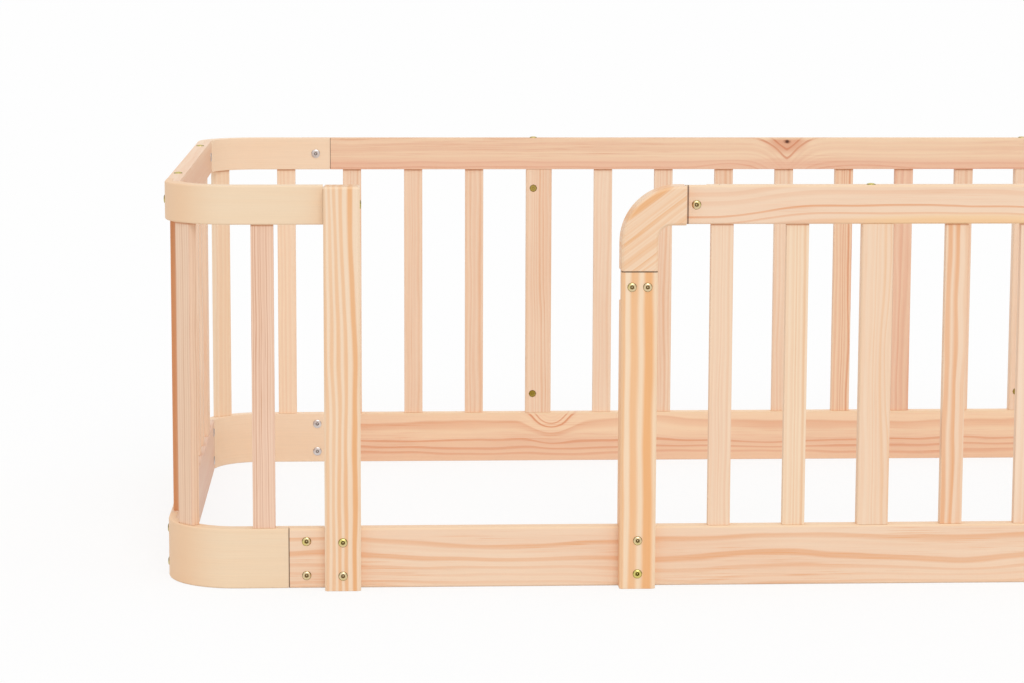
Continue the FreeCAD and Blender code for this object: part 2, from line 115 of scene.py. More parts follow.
# ------------------------------------------------------------------ node trees
class Tree:
    """Short way to write a node tree."""

    def __init__(self, tree):
        self.tree = tree

    def feed(self, socket, value):
        if isinstance(value, bpy.types.NodeSocket):
            self.tree.links.new(value, socket)
        else:
            socket.default_value = value

    def add(self, kind, inputs=None, **settings):
        node = self.tree.nodes.new(kind)
        for name, value in settings.items():
            setattr(node, name, value)
        for socket, value in (inputs or {}).items():
            self.feed(node.inputs[socket], value)
        return node

    def math(self, operation, *values, clamp=False):
        node = self.add("ShaderNodeMath", operation=operation, use_clamp=clamp)
        for number, value in enumerate(values):
            self.feed(node.inputs[number], value)
        return node.outputs[0]

    def vector(self, operation, *values):
        node = self.add("ShaderNodeVectorMath", operation=operation)
        for number, value in enumerate(values):
            self.feed(node.inputs[number], value)
        return node.outputs["Value" if operation in ("LENGTH", "DOT_PRODUCT") else "Vector"]

    def split(self, vector):
        return self.add("ShaderNodeSeparateXYZ", {"Vector": vector}).outputs

    def join(self, x, y, z):
        return self.add("ShaderNodeCombineXYZ", {"X": x, "Y": y, "Z": z}).outputs[0]

    def noise(self, vector, scales, detail, shift=None):
        """Noise from 0 to 1 with a length in millimetres for each direction."""
        rates = tuple(1 / scale for scale in scales)
        place = self.vector("MULTIPLY", vector, rates)
        if shift is not None:
            place = self.vector("ADD", place, shift)
        node = self.add("ShaderNodeTexNoise", {"Vector": place, "Scale": 1.0, "Detail": detail})
        return node.outputs["Fac"]

    def ramp(self, value, low, high):
        """Smooth step of a value from 0 at low to 1 at high."""
        node = self.add("ShaderNodeMapRange",
                        {"Value": value, "From Min": low, "From Max": high},
                        interpolation_type="SMOOTHSTEP")
        return node.outputs["Result"]

    def spots(self, vector, scales, detail, edge, shift=None):
        """Noise that comes in between the two values of edge."""
        return self.ramp(self.noise(vector, scales, detail, shift), *edge)

    def weigh(self, start, *terms):
        """Start plus each (value, weight)."""
        for value, weight in terms:
            start = self.math("ADD", start, self.math("MULTIPLY", value, weight))
        return start

    def mix(self, share, first, second, blend="MIX"):
        """Colour between two; a Mix node's colour sockets are told apart by number only."""
        node = self.add("ShaderNodeMix", data_type="RGBA", blend_type=blend)
        self.feed(node.inputs[0], share)
        self.feed(node.inputs[6], first)
        self.feed(node.inputs[7], second)
        return node.outputs[2]

    def output(self, kind, surface):
        self.feed(self.add(kind).inputs["Surface"], surface)


def fresh_tree(data):
    """Empty node tree of a material or a world."""
    data.use_nodes = True
    data.node_tree.nodes.clear()
    return Tree(data.node_tree)


def new_group(name, inputs, outputs):
    """A shader group; returns its tree, its input sockets and its output sockets."""
    group = bpy.data.node_groups.new(name, "ShaderNodeTree")
    for sockets, way in ((inputs, "INPUT"), (outputs, "OUTPUT")):
        for socket_name, kind in sockets.items():
            group.interface.new_socket(socket_name, in_out=way, socket_type=kind)
    tree = Tree(group)
    return tree, tree.add("NodeGroupInput").outputs, tree.add("NodeGroupOutput").inputs


# ------------------------------------------------------------------ pine
FLOAT, VECTOR, COLOUR = "NodeSocketFloat", "NodeSocketVector", "NodeSocketColor"
EARLY = srgb(247, 218, 190)
LATE = srgb(232, 174, 130)
ORANGE = srgb(240, 184, 132)     # late wood of the corner block
BLUSH = srgb(242, 202, 172)
# pale tint of eased edges and of a rail's top: a painted highlight
EDGE = srgb(248, 218, 182)
END_GRAIN = srgb(226, 180, 138)
KNOT = srgb(88, 52, 38)
JOINT = srgb(92, 62, 48)         # dark line where two boards meet
PAINTED_RAIL_SHADE = srgb(214, 148, 104)     # painted shade on slat ends just under a rail

# noises of the wood: lengths in millimetres along, across and through the grain, then detail,
# then the two values between which the noise comes in
WARP = ((420, 80, 80), 1)
RIPPLE = ((110, 24, 24), 1)
WAVER = ((26, 3, 3), 1)
WAVER_SIZE = 0.5                 # in millimetres
FADE = ((240, 40, 40), 1)
FIBRE = ((60, 1.4, 1.4), 2)
STREAK = ((75, 0.9, 0.9), 2, (0.54, 0.74))
STREAKED = ((260, 26, 26), 1, (0.38, 0.62))
PORES = ((9, 0.6, 0.6), 1, (0.68, 0.82))
CLOUD = ((300, 45, 45), 2, (0.36, 0.7))
HEART_EDGE = ((6, 6, 4), 2)

# one ring, as shares of its pitch: it darkens slowly and ends at once
RING_COMES = (0.05, 0.7)
RING_GOES = (0.74, 1.0)
RING_DRIFT = (0.45, 1.6)         # how fast the ring width changes, and by how much
FAINTEST_RING = 0.3
BAND_FADE = (0.55, 0.9)          # strength of a band where the wood is faint, and what it gains

HEART_OVAL = (0.6, 0.0, 1.0)     # longer along the grain, and right through the board
HEART_WOBBLE = 0.9
HEART_FADES = (0.45, 1.15)       # in heart radii
HEART_SHARE = 0.9
END_SHARE = 0.5
# share of the painted highlight on eased edges
PAINTED_HIGHLIGHT_SHARE = 0.3
PLAIN_TONE = 0.965
FIBRE_TONE = 0.07
PORE_TONE = -0.05
ROUGHNESS = 0.5
LATE_ROUGH = -0.08
FIBRE_ROUGH = 0.1
END_ROUGH = 0.15
LATE_HEIGHT = 0.5
FIBRE_HEIGHT = 0.4
PORE_HEIGHT = -0.5
SPECULAR = 0.3
BUMP_STRENGTH = 0.3
BUMP_HEIGHT = 0.25               # in millimetres
PATCH_FADES = (0.4, 1.1)         # in shares of its reach
LEAST_HEART = 0.1                # radius that stands in where a knot has no dark heart
SEED_SPREAD = (1.0, 0.37, 0.71)  # where a seed puts the noises


def make_knot_group():
    """Bends the rings round a place and gives a knot's dark heart there."""
    tree, given, out = new_group(
        "knot",
        {"Grain": VECTOR, "Place": VECTOR, "Reach": VECTOR, "Push": FLOAT, "Power": FLOAT,
         "Heart": FLOAT},
        {"Shift": FLOAT, "Mask": FLOAT})
    away = tree.vector("SUBTRACT", given["Grain"], given["Place"])
    near = tree.vector("LENGTH", tree.vector("DIVIDE", away, given["Reach"]))
    fall = tree.math("MULTIPLY", tree.math("POWER", near, given["Power"]), -1.0)
    tree.feed(out["Shift"], tree.math("MULTIPLY", tree.math("EXPONENT", fall), given["Push"]))
    oval = tree.vector("LENGTH", tree.vector("MULTIPLY", away, HEART_OVAL))
    wobble = tree.math("SUBTRACT", tree.noise(given["Grain"], *HEART_EDGE), 0.5)
    size = tree.weigh(tree.math("DIVIDE", oval, given["Heart"]), (wobble, HEART_WOBBLE))
    tree.feed(out["Mask"], tree.math("SUBTRACT", 1.0, tree.ramp(size, *HEART_FADES)))
    return tree.tree


def make_ring_group():
    """Growth level in millimetres: distance from the pith, bent by warp, ripple and waver."""
    tree, given, out = new_group(
        "rings",
        {"Grain": VECTOR, "Seed": VECTOR, "Pith U": FLOAT, "Pith V": FLOAT, "Warp": FLOAT,
         "Ripple": FLOAT, "Shift": FLOAT},
        {"Level": FLOAT})
    grain, seed = given["Grain"], given["Seed"]
    _, across, rise = tree.split(grain)[0:3]

    def length(first, second):
        return tree.vector("LENGTH", tree.join(first, second, 0.0))

    level = length(tree.math("SUBTRACT", across, given["Pith U"]),
                   tree.math("SUBTRACT", rise, given["Pith V"]))
    level = tree.math("SUBTRACT", level, length(given["Pith U"], given["Pith V"]))
    for noise, amount in ((WARP, given["Warp"]), (RIPPLE, given["Ripple"]), (WAVER, WAVER_SIZE)):
        swing = tree.math("SUBTRACT", tree.noise(grain, *noise, seed), 0.5)
        level = tree.weigh(level, (swing, amount))
    tree.feed(out["Level"], tree.math("ADD", level, given["Shift"]))
    return tree.tree


def make_pine_group():
    """Planed and lacquered pine: soft rings, fibre streaks, pores, blush and a painted highlight
    on eased edges.
    """
    tree, given, out = new_group(
        "pine",
        {"Grain": VECTOR, "Seed": VECTOR, "Level": FLOAT, "Pitch": FLOAT, "Contrast": FLOAT,
         "Bands": FLOAT, "Streaks": FLOAT, "Heart": FLOAT, "End": FLOAT, "Painted Highlight": FLOAT,
         "Blushed": FLOAT, "Early": COLOUR, "Late": COLOUR},
        {"Color": COLOUR, "Roughness": FLOAT, "Height": FLOAT})
    grain, seed = given["Grain"], given["Seed"]

    turns = tree.math("DIVIDE", given["Level"], given["Pitch"])
    rate, amount = RING_DRIFT
    uneven = tree.add("ShaderNodeTexNoise",
                      {"W": tree.math("MULTIPLY", turns, rate), "Scale": 1.0, "Detail": 1.0},
                      noise_dimensions="1D")
    turns = tree.weigh(turns, (uneven.outputs["Fac"], amount))
    phase = tree.math("FRACT", turns)
    drawn = tree.add("ShaderNodeTexWhiteNoise", {"W": tree.math("FLOOR", turns)},
                     noise_dimensions="1D").outputs["Value"]
    ring = tree.math("MULTIPLY", tree.ramp(phase, *RING_COMES),
                     tree.math("SUBTRACT", 1.0, tree.ramp(phase, *RING_GOES)))
    ring = tree.math("MULTIPLY", ring, tree.weigh(FAINTEST_RING, (drawn, 1.0 - FAINTEST_RING)))
    fade = tree.noise(grain, *FADE, seed)
    ring = tree.math("MULTIPLY", ring, tree.math("ADD", 0.5, fade))
    late = tree.math("MULTIPLY", ring, given["Contrast"])
    faint, gain = BAND_FADE
    late = tree.weigh(late, (given["Bands"], tree.weigh(faint, (fade, gain))))

    streak = tree.spots(grain, *STREAK, seed)
    streaked = tree.spots(grain, *STREAKED, seed)
    streak = tree.math("MULTIPLY", tree.math("MULTIPLY", streak, streaked), given["Streaks"])
    late = tree.math("ADD", late, streak, clamp=True)

    fibre = tree.noise(grain, *FIBRE, seed)
    pores = tree.spots(grain, *PORES, seed)
    cloud = tree.spots(grain, *CLOUD, seed)

    colour = tree.mix(tree.math("MULTIPLY", cloud, given["Blushed"]), given["Early"], BLUSH)
    colour = tree.mix(late, colour, given["Late"])
    shade = tree.weigh(PLAIN_TONE, (fibre, FIBRE_TONE), (pores, PORE_TONE))
    colour = tree.mix(1.0, colour, tree.join(shade, shade, shade), "MULTIPLY")
    # the pale tint on eased edges is a painted highlight
    for mask, share, tint in (("End", END_SHARE, END_GRAIN), ("Painted Highlight", PAINTED_HIGHLIGHT_SHARE, EDGE),
                              ("Heart", HEART_SHARE, KNOT)):
        colour = tree.mix(tree.math("MULTIPLY", given[mask], share), colour, tint)
    tree.feed(out["Color"], colour)
    tree.feed(out["Roughness"], tree.weigh(ROUGHNESS, (late, LATE_ROUGH), (fibre, FIBRE_ROUGH),
                                           (given["End"], END_ROUGH)))
    tree.feed(out["Height"], tree.weigh(tree.math("MULTIPLY", late, LATE_HEIGHT),
                                        (fibre, FIBRE_HEIGHT), (pores, PORE_HEIGHT)))
    return tree.tree


KNOT_GROUP = make_knot_group()
RING_GROUP = make_ring_group()
PINE_GROUP = make_pine_group()
FLAT_NORMAL = (0.8, 0.95)        # how far a face must turn to one axis to count as its end
EASED_NORMAL = (0.72, 0.97)      # between these a face is an eased edge, which gets a painted highlight
EASED_BEND = ((0.15, 0.45), (0.8, 0.97))     # upward turn at which a bend's eased edge, with its painted highlight, comes and goes
# axes along, across and through the grain, by kind
GRAIN_AXES = {"x": (0, 1, 2), "y": (1, 0, 2), "z": (2, 0, 1), "z_end": (2, 1, 0)}


def centre_of(name):
    low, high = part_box(name)
    return (low + high) / 2


def bend_corner(name, low, high):
    """A bend's outer corner on the floor side, and the way from it into the bend in x and in y."""
    corner = name.split("_bend_")[1]
    to_left, to_front = "left" in corner, "front" in corner
    outer = Vector((low.x if to_left else high.x, low.y if to_front else high.y, low.z))
    return outer, 1.0 if to_left else -1.0, 1.0 if to_front else -1.0


def grain_of(tree, kind, name):
    """Grain coordinates in millimetres, the end-grain mask and the mask of the painted highlight
    on eased edges.
    """
    place = tree.add("ShaderNodeTexCoord").outputs["Object"]
    centre = centre_of(name)
    place = tree.vector("SUBTRACT", place, tuple(centre))
    place = tree.vector("MULTIPLY", place, (1 / MM, 1 / MM, 1 / MM))
    place = tree.split(place)
    x, y, z = place[0:3]
    normal = tree.vector("ABSOLUTE", tree.add("ShaderNodeNewGeometry").outputs["True Normal"])
    normal = tree.split(normal)
    nx, ny, nz = normal[0:3]
    largest = tree.math("MAXIMUM", tree.math("MAXIMUM", nx, ny), nz)
    painted_highlight = tree.math("SUBTRACT", 1.0, tree.ramp(largest, *EASED_NORMAL))
    if kind in GRAIN_AXES:
        axes = GRAIN_AXES[kind]
        grain = tree.join(*(place[axis] for axis in axes))
        return grain, tree.ramp(normal[axes[0]], *FLAT_NORMAL), painted_highlight
    if kind == "diagonal":
        cosine, sine = math.cos(BLOCK_SLOPE), math.sin(BLOCK_SLOPE)
        along = tree.weigh(tree.math("MULTIPLY", x, cosine), (z, sine))
        rise = tree.weigh(tree.math("MULTIPLY", z, cosine), (x, -sine))
        return tree.join(along, y, rise), 0.0, painted_highlight
    # a bent corner: depth is measured from its outer face, round the bend too
    low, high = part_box(name)
    outer, way_x, way_y = bend_corner(name, low, high)
    in_x = tree.math("SUBTRACT", x, (outer.x - centre.x) / MM)
    in_x = tree.math("MULTIPLY", in_x, way_x)
    in_y = tree.math("SUBTRACT", y, (outer.y - centre.y) / MM)
    in_y = tree.math("MULTIPLY", in_y, way_y)
    dx = tree.math("MAXIMUM", tree.math("SUBTRACT", BEND_RADIUS, in_x), 0.0)
    dy = tree.math("MAXIMUM", tree.math("SUBTRACT", BEND_RADIUS, in_y), 0.0)
    depth = tree.math("SUBTRACT", BEND_RADIUS, tree.vector("LENGTH", tree.join(dx, dy, 0.0)))
    along = tree.math("SUBTRACT", in_x, in_y)
    comes, goes = EASED_BEND
    painted_highlight = tree.math("MULTIPLY", tree.ramp(nz, *comes),
                     tree.math("SUBTRACT", 1.0, tree.ramp(nz, *goes)))
    return tree.join(along, depth, z), 0.0, painted_highlight


FLAT_TOP = 0.3                   # share of a band's rise and fall at full strength
LEAST_RISE = 0.4                 # share of its rise that a crowded band keeps
BAND_MARGIN = 1.0                # plain wood beyond the first and the last band


def late_bands(tree, level, bands):
    """Bands of late wood, each (level, rise, fall, strength) in millimetres."""
    bands = sorted(bands)
    low = bands[0][0] - bands[0][1] - BAND_MARGIN
    high = bands[-1][0] + bands[-1][2] + BAND_MARGIN
    stops = [(low, 0.0)]
    for middle, rise, fall, strength in bands:
        start = middle - rise
        if start < stops[-1][0]:
            start = min((start + stops.pop()[0]) / 2, middle - LEAST_RISE * rise)
        stops += [(start, 0.0), (middle - FLAT_TOP * rise, strength),
                  (middle + FLAT_TOP * fall, strength), (middle + fall, 0.0)]
    place = tree.add("ShaderNodeMapRange", {"Value": level, "From Min": low, "From Max": high})
    node = tree.add("ShaderNodeValToRGB", {"Fac": place.outputs["Result"]})
    node.color_ramp.interpolation = "EASE"
    elements = node.color_ramp.elements
    elements.remove(elements[1])
    elements[0].position = 0.0
    elements[0].color = (0, 0, 0, 1)
    for position, value in stops[1:]:
        stop = elements.new((position - low) / (high - low))
        stop.color = (value, value, value, 1)
    return node.outputs["Color"]


def pine(name, kind, seed, pith, pitch, warp, ripple, contrast, streaks, blush, early=EARLY,
         late=LATE, bands=(), knots=(), patches=()):
    """Material of one piece.

    Places and reaches are (along, across, through) the grain, in millimetres from the piece's
    middle. A knot is (place, reach, push, power, heart radius) and bends the rings by its push.
    A patch is (place, reach, tint, share) and tints the wood it covers.
    """
    material = bpy.data.materials.new(f"pine_{name}")
    tree = fresh_tree(material)
    grain, end, painted_highlight = grain_of(tree, kind, name)

    def use(group, values):
        node = tree.add("ShaderNodeGroup", node_tree=group)
        for socket, value in values.items():
            tree.feed(node.inputs[socket], value)
        return node.outputs

    shift, heart = 0.0, 0.0
    for place, reach, push, power, size in knots:
        knot = use(KNOT_GROUP, {"Grain": grain, "Place": place, "Reach": reach, "Push": push,
                                "Power": power, "Heart": max(size, LEAST_HEART)})
        shift = tree.math("ADD", shift, knot["Shift"])
        if size > 0:
            heart = tree.math("MAXIMUM", heart, knot["Mask"])
    origin = tuple(seed * share for share in SEED_SPREAD)
    level = use(RING_GROUP, {"Grain": grain, "Seed": origin, "Pith U": pith[0], "Pith V": pith[1],
                             "Warp": warp, "Ripple": ripple, "Shift": shift})["Level"]
    wood = use(PINE_GROUP, {"Grain": grain, "Seed": origin, "Level": level, "Pitch": pitch,
                            "Contrast": contrast, "Streaks": streaks,
                            "Bands": late_bands(tree, level, bands) if bands else 0.0,
                            "Heart": heart, "End": end, "Painted Highlight": painted_highlight, "Blushed": blush,
                            "Early": early, "Late": late})
    colour = wood["Color"]
    for place, reach, tint, amount in patches:
        away = tree.vector("DIVIDE", tree.vector("SUBTRACT", grain, place), reach)
        inside = tree.math("SUBTRACT", 1.0,
                           tree.ramp(tree.vector("LENGTH", away), *PATCH_FADES))
        colour = tree.mix(tree.math("MULTIPLY", inside, amount), colour, tint)
    bump = tree.add("ShaderNodeBump", {"Height": wood["Height"], "Strength": BUMP_STRENGTH,
                                       "Distance": BUMP_HEIGHT * MM})
    surface = tree.add("ShaderNodeBsdfPrincipled",
                       {"Base Color": colour, "Roughness": wood["Roughness"],
                        "Normal": bump.outputs[0], "Specular IOR Level": SPECULAR})
    tree.output("ShaderNodeOutputMaterial", surface.outputs[0])
    return material


WELD_DISTANCE = 0.01             # millimetres
EDGE_ROUND = 0.6
EDGE_ANGLE = math.radians(30)    # a sharper fold is an edge to round


def dress(name, material):
    """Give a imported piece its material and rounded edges."""
    piece = nodes[name]
    piece.data.materials.clear()
    piece.data.materials.append(material)
    weld = piece.modifiers.new("weld", "WELD")
    weld.merge_threshold = WELD_DISTANCE * MM
    round_over = piece.modifiers.new("round", "BEVEL")
    round_over.width = EDGE_ROUND * MM
    round_over.segments = 2
    round_over.limit_method = "ANGLE"
    round_over.angle_limit = EDGE_ANGLE
    round_over.use_clamp_overlap = False
    shading = piece.modifiers.new("shading", "WEIGHTED_NORMAL")
    shading.weight = 100


def mixed(first, second, share):
    return tuple(a + (b - a) * share for a, b in zip(first, second))


# how the grain of the boards in plain view runs; U is across the first face, V the second
STRAIGHT_V = (0.0, -400.0)        # a far pith: levels rise evenly with V
STRAIGHT_U = (-400.0, 0.0)
FAR = 900                         # a reach beyond every face of a board
LONG = 9000                       # and beyond its ends
WOOD = {
    "top_rail_front": dict(
        kind="x", seed=3.0, pith=STRAIGHT_V, warp=3.0, ripple=5.0, pitch=9.0, contrast=0.12,
        blush=0.3, streaks=0.35, late=srgb(234, 168, 124),
        bands=((-13.5, 2.6, 0.9, 0.75), (-22.5, 2.5, 1.0, 0.5), (3.0, 5.0, 1.6, 0.25),
               (12.0, 5.0, 3.0, 0.3), (-33.0, 7.0, 5.0, 0.4)),
        knots=(((-200.0, 0, 0), (178.0, FAR, FAR), -13.0, 6.0, 0),),
        patches=(((-130.0, 0, -19), (190.0, FAR, 10), srgb(249, 206, 150), 0.6),)),
    "bottom_rail_front": dict(
        kind="x", seed=6.0, pith=STRAIGHT_V, warp=14.0, ripple=8.0, pitch=8.0, contrast=0.16,
        blush=0.45, streaks=0.75, late=srgb(236, 176, 130),
        bands=((22.0, 6.0, 3.0, 0.5), (2.0, 6.0, 3.0, 0.6), (-10.5, 4.0, 2.0, 0.4),
               (-20.0, 3.0, 1.6, 0.22), (-29.0, 3.5, 1.6, 0.3)),
        knots=(((-215.0, 0, -38), (60.0, FAR, 18), 10.0, 2.0, 0),
               ((-640.0, 0, 12), (60.0, FAR, 16), -6.0, 2.0, 0),
               ((-440.0, 0, 16), (90.0, FAR, 18), 7.0, 2.0, 0),
               ((-120.0, 0, 6), (70.0, FAR, 15), -6.0, 2.0, 0),
               ((90.0, 0, -10), (90.0, FAR, 22), 8.0, 2.0, 0))),
    "bottom_rail_back": dict(
        kind="x", seed=12.0, pith=STRAIGHT_V, warp=12.0, ripple=11.0, pitch=7.0, contrast=0.16,
        blush=0.5, streaks=0.5, early=srgb(253, 220, 186), late=srgb(232, 164, 124),
        bands=((-3.5, 3.0, 1.4, 0.7), (-13.0, 3.5, 1.4, 0.65), (-22.0, 4.0, 1.8, 0.5),
               (19.0, 9.0, 4.0, 0.42), (40.0, 4.5, 1.6, 1.0), (50.0, 3.0, 1.5, 0.7)),
        knots=(((-329.0, 0, 34), (27.0, FAR, 32), 38.0, 2.2, 0),
               ((-180.0, 0, 20), (60.0, FAR, 15), -8.0, 2.0, 0),
               ((-20.0, 0, -8), (45.0, FAR, 12), 6.0, 2.0, 0)),
        patches=(((0, 0, -26), (LONG, FAR, 30), srgb(236, 180, 150), 0.3),)),
    "top_rail_back": dict(
        kind="x", seed=20.0, pith=STRAIGHT_V, warp=10.0, ripple=7.0, pitch=8.0, contrast=0.16,
        blush=0.5, streaks=0.45, early=srgb(249, 218, 186), late=srgb(216, 138, 102),
        bands=((-20.5, 2.5, 1.0, 0.55), (-13.0, 3.0, 1.4, 0.3), (8.0, 6.0, 3.0, 0.14),
               (24.4, 3.2, 1.2, 0.7), (35.0, 3.4, 1.3, 1.0)),
        knots=(((3.0, 0, 17), (24.0, FAR, FAR), 30.0, 1.5, 3.6),
               ((-75.0, 0, -22), (40.0, FAR, 12), -8.0, 2.0, 0),
               ((110.0, 0, -22), (60.0, FAR, 12), -7.0, 2.0, 0)),
        patches=(((3.0, 0, 16), (34.0, FAR, 20), srgb(222, 150, 114), 0.6),
                 ((0, 0, -20), (LONG, FAR, 15), srgb(238, 184, 156), 0.55),
                 ((3.0, 0, 17), (3.4, FAR, 2.8), KNOT, 0.95))),
    "entry_post_left": dict(
        kind="z", seed=4.0, pith=STRAIGHT_U, warp=6.0, ripple=6.0, pitch=7.0, contrast=0.06,
        blush=0.1, streaks=0.14, early=srgb(248, 221, 192), late=srgb(239, 181, 128),
        bands=((-16.8, 3.2, 2.6, 0.5), (-10.2, 3.0, 2.4, 0.55), (-3.6, 3.4, 2.8, 0.7),
               (3.8, 3.6, 3.0, 0.7), (15.0, 5.0, 3.8, 0.95)),
        knots=(((235.0, 14, 0), (150.0, 60, FAR), 6.0, 2.0, 0),)),
    "entry_post_right": dict(
        kind="z", seed=9.0, pith=STRAIGHT_U, warp=5.0, ripple=5.0, pitch=9.0, contrast=0.05,
        blush=0.0, streaks=0.12, early=srgb(250, 222, 190), late=srgb(243, 184, 128),
        bands=((-18.5, 4.5, 4.0, 0.65), (-6.5, 5.5, 7.5, 0.75), (10.0, 7.5, 8.5, 0.95))),
    "entry_corner_block": dict(
        kind="diagonal", seed=5.0, pith=STRAIGHT_V, warp=7.0, ripple=6.0, pitch=3.4,
        contrast=0.3, blush=0.15, streaks=0.7, early=srgb(248, 217, 186), late=ORANGE,
        bands=((51.0, 6.0, 5.0, 0.9), (38.0, 4.0, 2.0, 0.2), (29.8, 5.0, 1.2, 0.5),
               (22.0, 2.6, 1.0, 0.3), (10.0, 6.0, 5.0, 0.42), (-0.5, 3.0, 1.0, 0.45),
               (-6.5, 2.4, 1.0, 0.4))),
    "wide_slat_front_left": dict(
        kind="z", seed=31.0, pith=(-220.0, 30.0), warp=16.0, ripple=9.0, pitch=6.5, contrast=0.5,
        blush=0.3, streaks=0.25, late=srgb(240, 188, 140),
        knots=(((26.0, 20, 0), (60.0, 16, FAR), 9.0, 2.0, 0),)),
    "slat_front_01": dict(
        kind="z", seed=33.0, pith=STRAIGHT_U, warp=8.0, ripple=5.0, pitch=4.4, contrast=0.35,
        blush=0.2, streaks=0.2),
    "slat_front_02": dict(
        kind="z", seed=35.0, pith=STRAIGHT_U, warp=4.0, ripple=3.0, pitch=5.0, contrast=0.65,
        blush=0.0, streaks=0.12, early=srgb(249, 222, 192), late=srgb(234, 182, 136)),
    "slat_front_03": dict(
        kind="z", seed=37.0, pith=STRAIGHT_U, warp=14.0, ripple=9.0, pitch=7.0, contrast=0.12,
        blush=0.2, streaks=0.3, late=srgb(236, 170, 118),
        bands=((-12.0, 4.0, 5.5, 0.7), (0.5, 7.0, 2.4, 0.65), (9.5, 4.0, 2.4, 0.3))),
    "slat_back_08": dict(
        kind="z", seed=51.0, pith=STRAIGHT_U, warp=8.0, ripple=6.0, pitch=4.6, contrast=0.85,
        blush=0.3, streaks=0.3, early=srgb(248, 214, 182), late=srgb(222, 146, 104)),
    "slat_back_09": dict(
        kind="z", seed=53.0, pith=STRAIGHT_U, warp=26.0, ripple=12.0, pitch=13.0, contrast=0.6,
        blush=0.9, streaks=0.3, early=srgb(246, 208, 180), late=srgb(226, 158, 124)),
    "corner_slats_back_left": dict(
        kind="z", seed=55.0, pith=STRAIGHT_U, warp=8.0, ripple=5.0, pitch=5.5, contrast=0.35,
        blush=0.1, streaks=0.2, early=srgb(253, 227, 199), late=srgb(236, 186, 144)),
    "corner_slats_front_left": dict(
        kind="z", seed=41.0, pith=STRAIGHT_U, warp=5.0, ripple=3.0, pitch=3.1, contrast=0.75,
        blush=0.5, streaks=0.5, early=srgb(245, 211, 186), late=srgb(214, 162, 130)),
}


# ------------------------------------------------------------------ bent corners
LAP_START = 140.6            # end of the full thickness, where the tongue starts
SEAT_START = 67.6            # start of the seat that covers the end rail
OUTER_ROUND = 2.0
INNER_ROUND = 0.8
ROUND_STEPS = 4
SEAT_STEPS = 4
ARC_STEPS = 30
DOUBLE = 0.005               # points this near each other are one
ARC_STOP = math.radians(75)  # beyond it the rings lie square to the end


def board_section(height):
    """Outline of a board's section as (depth from the outer face, height), in millimetres."""
    outline = []
    corners = ((0.0, 0.0, OUTER_ROUND, 2), (BOARD, 0.0, INNER_ROUND, 3),
               (BOARD, height, INNER_ROUND, 0), (0.0, height, OUTER_ROUND, 1))
    for depth, rise, radius, quarter in corners:
        centre_depth = depth + (radius if depth == 0.0 else -radius)
        centre_rise = rise + (radius if rise == 0.0 else -radius)
        for step in range(ROUND_STEPS + 1):
            angle = math.pi / 2 * (quarter + step / ROUND_STEPS)
            outline.append((centre_depth + radius * math.cos(angle),
                            centre_rise + radius * math.sin(angle)))
    return outline


def bend_stations(long_stop, end_stop, lapped):
    """Functions from depth to (x, y) in the corner, from the long side round to the end."""
    def on_long(place, least):
        return lambda depth: (place, max(depth, least))

    def round_bend(angle):
        return lambda depth: (BEND_RADIUS - (BEND_RADIUS - depth) * math.sin(angle),
                              BEND_RADIUS - (BEND_RADIUS - depth) * math.cos(angle))

    def on_end(place, most):
        short = max(BEND_RADIUS - place, 0.0)
        return lambda depth: (
            min(BEND_RADIUS - math.sqrt((BEND_RADIUS - depth) ** 2 - short ** 2), most), place)

    stations = [on_long(long_stop, HALF_BOARD if lapped else 0.0)]
    if lapped:
        stations += [on_long(LAP_START, HALF_BOARD), on_long(LAP_START, 0.0)]
    stations += [round_bend(ARC_STOP * step / ARC_STEPS) for step in range(ARC_STEPS + 1)]
    stations += [on_end(SEAT_START, BOARD)]
    for step in range(SEAT_STEPS + 1):
        place = SEAT_START + (BEND_RADIUS - SEAT_START) * step / SEAT_STEPS
        stations.append(on_end(place, HALF_BOARD))
    return stations + [on_end(end_stop, HALF_BOARD)]


def sweep_bend(name, material):
    """Bent corner as one swept board with its lap tongue and its seat."""
    low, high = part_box(name)
    size = (high - low) / MM
    outer, way_x, way_y = bend_corner(name, low, high)
    section = board_section(size.z)
    lapped = name != "top_bend_front_left"
    maker = bmesh.new()
    rings = []
    for station in bend_stations(size.x, size.y, lapped):
        ring = []
        for depth, rise in section:
            x, y = station(depth)
            ring.append(maker.verts.new(outer + Vector((way_x * x, way_y * y, rise)) * MM))
        rings.append(ring)
    count = len(section)
    for first, second in zip(rings, rings[1:]):
        for number in range(count):
            after = (number + 1) % count
            maker.faces.new((first[number], first[after], second[after], second[number]))
    maker.faces.new(rings[0])
    maker.faces.new(rings[-1])
    bmesh.ops.remove_doubles(maker, verts=maker.verts[:], dist=DOUBLE * MM)
    bmesh.ops.dissolve_degenerate(maker, edges=maker.edges[:], dist=DOUBLE * MM)
    piece = finish_piece(maker, f"{name}_swept", name, "bent_pine", material)
    piece.modifiers.new("shading", "WEIGHTED_NORMAL").keep_sharp = True


# ------------------------------------------------------------------ looks of the boards
# thin lines where boards meet, and the painted shade under a rail: (reach along the grain in
# millimetres, colour, share)
JOINT_LINE = (1.1, JOINT, 0.75)
BLOCK_LINE = (1.2, JOINT, 0.8)
PAINTED_RAIL_SHADE_LINE = (2.4, PAINTED_RAIL_SHADE, 0.7)
ONE_FACE = 8                 # reach through a board that leaves its other face alone
LIT_EDGE = 3.0               # reach of the painted highlight along a rail's top
LIT_SHARE = 0.6
BLOCK_HIDES = 2.9            # of the top rail's end, seen from the front


def cross_line(along, style, face=None):
    """Patch right across a board, on one face (its place across) or on both."""
    reach, tint, share = style
    if face is None:
        return (along, 0, 0), (reach, FAR, FAR), tint, share
    return (along, face, 0), (reach, ONE_FACE, FAR), tint, share


